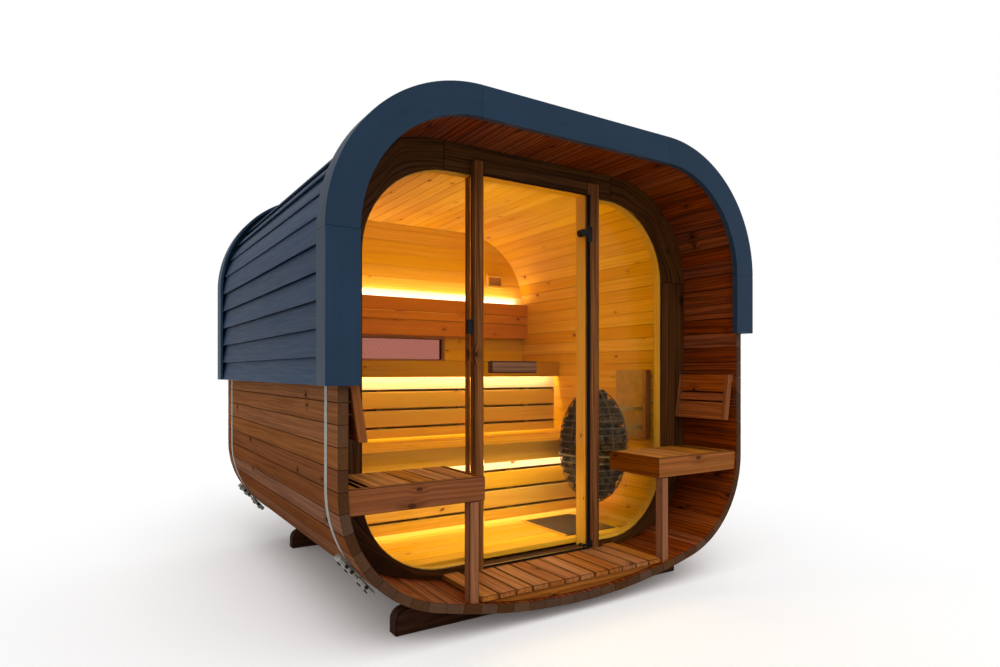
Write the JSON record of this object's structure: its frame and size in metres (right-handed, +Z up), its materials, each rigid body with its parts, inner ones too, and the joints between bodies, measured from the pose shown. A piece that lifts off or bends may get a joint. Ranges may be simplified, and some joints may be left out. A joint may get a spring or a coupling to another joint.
{
  "type": "outdoor sauna",
  "caption": "Free-standing stave barrel sauna with a rounded square section, covered porch seats, a glazed front with a hinged glass door, benches and a wall-hung stove.",
  "frame": {"origin": "centre of the footprint, on the ground", "axes": "+Z up, +Y from the porch to the back wall, +X to the right when facing the door"},
  "size_m": [2.4, 2.297, 2.298],
  "materials": {
    "stave_wood": "brown stained softwood staves, satin",
    "porch_wood": "brown stained softwood boards, satin",
    "frame_wood": "dark brown stained softwood, satin",
    "spruce": "planed pale spruce boards, unfinished",
    "blue_cladding": "matt slate blue boards",
    "blue_fascia": "matt slate blue sheet",
    "clear_glass": "clear toughened glass",
    "tinted_glass": "bronze tinted glass",
    "black_metal": "matt black",
    "galvanised": "galvanised strip",
    "shield_steel": "brushed sheet",
    "tray_steel": "dark satin sheet",
    "stove_stone": "split grey stones in a wire basket",
    "warm_light": "warm white light strip behind a diffuser"
  },
  "bodies": {
    "root": {"shell_bottom": "stave_wood", "shell_lower_corners": "stave_wood", "shell_sides": "stave_wood", "shell_upper_corners": "stave_wood", "shell_top": "stave_wood", "clad_sides": "blue_cladding", "clad_corners": "blue_cladding", "clad_top": "blue_cladding", "front_fascia": "blue_fascia", "rear_fascia": "blue_fascia", "glazing_frame": "frame_wood", "door_posts": "frame_wood", "door_header": "frame_wood", "door_sill": "frame_wood", "side_glass": "clear_glass", "door_hinge_plates": "black_metal", "door_catch": "black_metal", "back_wall_low": "spruce", "back_wall_middle": "spruce", "back_wall_high": "spruce", "back_window": "tinted_glass", "vent": "spruce", "cabin_floor": "spruce", "porch_deck": "porch_wood", "deck_bearers": "porch_wood", "upper_bench": "spruce", "lower_bench": "spruce", "bench_fronts": "spruce", "bench_risers": "spruce", "cabin_backrest": "spruce", "led_strips": "warm_light", "stove": "stove_stone", "stove_bracket": "black_metal", "heat_shield": "shield_steel", "wall_batten": "frame_wood", "floor_tray": "tray_steel", "porch_seats": "porch_wood", "seat_legs": "porch_wood", "porch_backrests": "porch_wood", "hoops": "galvanised", "hoop_locks": "galvanised", "cradles": "stave_wood"},
    "door": {"door_glass": "clear_glass", "door_handle": "frame_wood", "door_hinge_clamps": "black_metal"}
  },
  "joints": [
    {"name": "door_hinge", "type": "hinge", "parent": "root", "child": "door", "pos_m": [0.32, -0.7765, 1.13], "axis": [0, 0, 1], "range_deg": [0, 100]}
  ]
}
